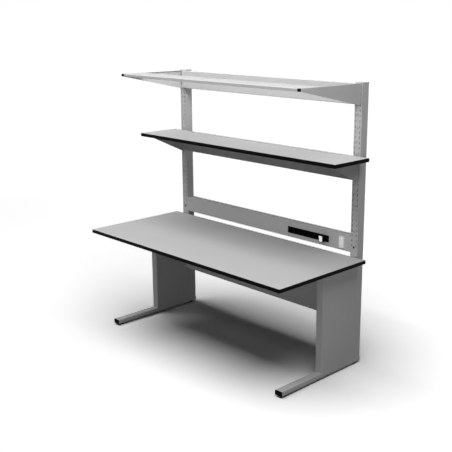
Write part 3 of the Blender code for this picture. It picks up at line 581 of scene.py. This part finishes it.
def duct_screw(node):
    """A screw on an upright beside the duct, seated one head's height behind its front."""
    low, high = corners(node)
    x, _, z = (low + high) / 2
    seat = (x, low[1] + DUCT_SCREW[1], z)
    button_screw(f"{node}_turned", seat, FORWARDS, DUCT_SCREW, node_body[node], node)


def board_screws(side):
    """A row of screws that go up through a support arm into the worktop."""
    arm = f"support_arm_{side}"
    low, high = corners(arm)
    x = (low[0] + high[0]) / 2
    for number, y in enumerate(BOARD_SCREWS_Y, 1):
        button_screw(f"board_screw_{side}_{number}", (x, y, low[2]), DOWN, BOARD_SCREW, node_body[arm])


def levelling_foot(node):
    """A levelling foot: a pad with a fluted rim, and a threaded stud.

    Around the pad the reach dips by a flute's depth times the squared sine of half so many turns. On the stud
    it dips by the thread's depth times a triangle wave of height over pitch less angle over a full turn, so
    the groove climbs one pitch in a turn.
    """
    pad, stud = f"{node}_pad", f"{node}_stud"
    low, high = corners(node)
    place = (*(low + high)[:2] / 2, low[2])
    radius = (high - low)[0] / 2
    angle = 2 * np.pi * np.arange(PAD_SIDES) / PAD_SIDES
    profile = np.array(PAD_PROFILE)
    reach = radius - profile[:, 1:2] - profile[:, 2:] * FLUTE_DEPTH * np.sin(FLUTES / 2 * angle) ** 2
    level = profile[:, :1] * np.ones_like(angle)
    add_piece(pad, turned(pad, place, UP, reach, level), node_slot[node], node_body[node], node)
    start, end = PAD_PROFILE[-1][0] - STUD_SUNK, high[2] - low[2]
    level = np.linspace(start, end, int((end - start) / THREAD_PITCH * THREAD_STEPS))[:, None]
    turn = np.arange(STUD_SIDES) / STUD_SIDES
    wave = np.abs(2 * ((level / THREAD_PITCH - turn) % 1) - 1)
    reach = STUD_RADIUS - THREAD_DEPTH * wave
    add_piece(stud, turned(stud, place, UP, reach, level * np.ones_like(turn)), "steel", node_body[node])


# Pieces: the boards and the lamp's panel show as they are, and a piece stands for every other solid

for node in sorted(nodes):
    if node in ("worktop_board", "shelf_board", "lamp_diffuser"):
        dress(nodes[node].data, finishes[node_slot[node]])
    elif node.endswith("edge_band"):
        edge_band(node)
    elif node.startswith("slot_rail"):
        pierced_rail(node)
    elif node.startswith("levelling_foot"):
        levelling_foot(node)
    elif node.startswith("duct_screw"):
        duct_screw(node)
    elif node.startswith("frame_arm"):
        soften(node, SHEET_ARRIS, narrow_rim)
    else:
        soften(node, PLASTIC_ARRIS if node_slot[node].endswith("plastic") else SHEET_ARRIS)
for side in ("left", "right"):
    board_screws(side)


# Stage, light and camera

def distance_field(tree, middle, reach, scale, power):
    """A scale times (1 + q) to a power: q sums the squared distances from a middle, each over a reach."""
    new, link = tree.nodes.new, tree.links.new
    place = new("ShaderNodeTexCoord")
    away = new("ShaderNodeMapping")
    for axis in (0, 1):
        away.inputs["Location"].default_value[axis] = -middle[axis] / reach[axis]
        away.inputs["Scale"].default_value[axis] = 1 / reach[axis]
    link(place.outputs["Object"], away.inputs["Vector"])
    squares = new("ShaderNodeVectorMath")
    squares.operation = "DOT_PRODUCT"
    link(away.outputs["Vector"], squares.inputs[0])
    link(away.outputs["Vector"], squares.inputs[1])
    return calculate(tree, squares.outputs["Value"], ("ADD", 1.0), ("POWER", power), ("MULTIPLY", scale))


def shown_or_lighting(tree, shown, lighting, output):
    """One shader for the rays that see the background, and another for the rest.

    Those are camera, glossy and transmission rays, so metal and glass show the background too.
    """
    path = tree.nodes.new("ShaderNodeLightPath").outputs
    seen = calculate(tree, path["Is Camera Ray"], ("MAXIMUM", path["Is Glossy Ray"]),
                     ("MAXIMUM", path["Is Transmission Ray"]))
    both = tree.nodes.new("ShaderNodeMixShader")
    tree.links.new(seen, both.inputs["Fac"])
    tree.links.new(lighting.outputs[0], both.inputs[1])
    tree.links.new(shown.outputs[0], both.inputs[2])
    tree.links.new(both.outputs[0], tree.nodes.new(output).inputs["Surface"])


def add_floor():
    """A pale floor that is as white as the background in the open, so only the shadow shows.

    Its white makes up for the fall-off of the softbox's light, and a faint glow adds what the open floor
    still lacks. Other pieces get only a dull bounce from it.
    """
    mesh = bpy.data.meshes.new("floor")
    edge = np.array([(-1, -1, 0), (1, -1, 0), (1, 1, 0), (-1, 1, 0)]) * FLOOR_HALF
    mesh.from_pydata(edge, [], [(0, 1, 2, 3)])
    floor = bpy.data.objects.new("floor", mesh)
    scene.collection.objects.link(floor)
    material = bpy.data.materials.new("pale_floor")
    material.use_nodes = True
    tree = material.node_tree
    tree.nodes.clear()
    new, link = tree.nodes.new, tree.links.new
    white = calculate(tree, distance_field(tree, FLOOR_MIDDLE, FLOOR_REACH, FLOOR_WHITE, FLOOR_POWER),
                      ("MINIMUM", FLOOR_MOST))
    lit = distance_field(tree, SOFTBOX_MIDDLE, FALL_REACH, FLOOR_LIT, -FALL_POWER)
    lack = calculate(tree, lit, ("MULTIPLY", white), ("MULTIPLY_ADD", -1.0, 1.0), ("MAXIMUM", 0.0))
    glow = new("ShaderNodeEmission")
    link(lack, glow.inputs["Strength"])
    pale, dull = new("ShaderNodeBsdfDiffuse"), new("ShaderNodeBsdfDiffuse")
    link(white, pale.inputs["Color"])
    dull.inputs["Color"].default_value = (FLOOR_BOUNCE, FLOOR_BOUNCE, FLOOR_BOUNCE, 1.0)
    shown = new("ShaderNodeAddShader")
    link(pale.outputs[0], shown.inputs[0])
    link(glow.outputs[0], shown.inputs[1])
    shown_or_lighting(tree, shown, dull, "ShaderNodeOutputMaterial")
    mesh.materials.append(material)
    return floor


def add_sky():
    """White for the camera, and an even soft light for everything else."""
    world = bpy.data.worlds.new("studio")
    scene.world = world
    world.use_nodes = True
    tree = world.node_tree
    tree.nodes.clear()
    white, soft = tree.nodes.new("ShaderNodeBackground"), tree.nodes.new("ShaderNodeBackground")
    for sky in (white, soft):
        sky.inputs["Color"].default_value = WHITE
    soft.inputs["Strength"].default_value = SKY_STRENGTH
    shown_or_lighting(tree, white, soft, "ShaderNodeOutputWorld")


def add_light(name, place, sides, watts):
    """A rectangular soft light facing down, which the camera doesn't see."""
    light = bpy.data.lights.new(name, "AREA")
    light.shape = "RECTANGLE"
    light.size, light.size_y = sides
    light.energy = watts
    item = bpy.data.objects.new(name, light)
    scene.collection.objects.link(item)
    item.location = place
    item.visible_camera = False
    return item


def add_fill(name, place, side, watts, flagged, state):
    """A weak square light turned towards the table: flags leave some things out, or all but those."""
    item = add_light(name, place, (side, side), watts)
    item.rotation_euler = (Vector(FILL_AIM) - Vector(place)).to_track_quat("-Z", "Y").to_euler()
    flags = bpy.data.collections.new(f"{name}_flags")
    for thing in flagged:
        flags.objects.link(thing)
    for entry in flags.collection_objects:
        entry.light_linking.link_state = state
    item.light_linking.receiver_collection = flags


def add_camera():
    """The photograph's camera: its axis meets the picture off the middle, which is a small shift."""
    data = bpy.data.cameras.new("camera")
    camera = bpy.data.objects.new("camera", data)
    scene.collection.objects.link(camera)
    data.sensor_width = SENSOR
    data.lens = FOCAL_PIXELS / FRAME_PIXELS * SENSOR
    data.shift_x = 0.5 - AXIS_PIXEL[0] / FRAME_PIXELS
    data.shift_y = AXIS_PIXEL[1] / FRAME_PIXELS - 0.5
    data.clip_end = CLIP_END
    camera.location = CAMERA_AT
    camera.rotation_euler = (-CAMERA_BACK).to_track_quat("-Z", "Y").to_euler()
    scene.camera = camera


floor = add_floor()
add_sky()
add_light("softbox", (*SOFTBOX_MIDDLE, SOFTBOX_HEIGHT), SOFTBOX_SIDES, SOFTBOX_WATTS)
for name, (place, side, watts, pieces) in FILLS.items():
    add_fill(name, place, side, watts, [floor, *(bpy.data.objects[piece] for piece in pieces)], "EXCLUDE")
for name, (place, side, watts, pieces) in SPILLS.items():
    add_fill(name, place, side, watts, [bpy.data.objects[piece] for piece in pieces], "INCLUDE")
add_camera()
scene.view_settings.view_transform = "Standard"
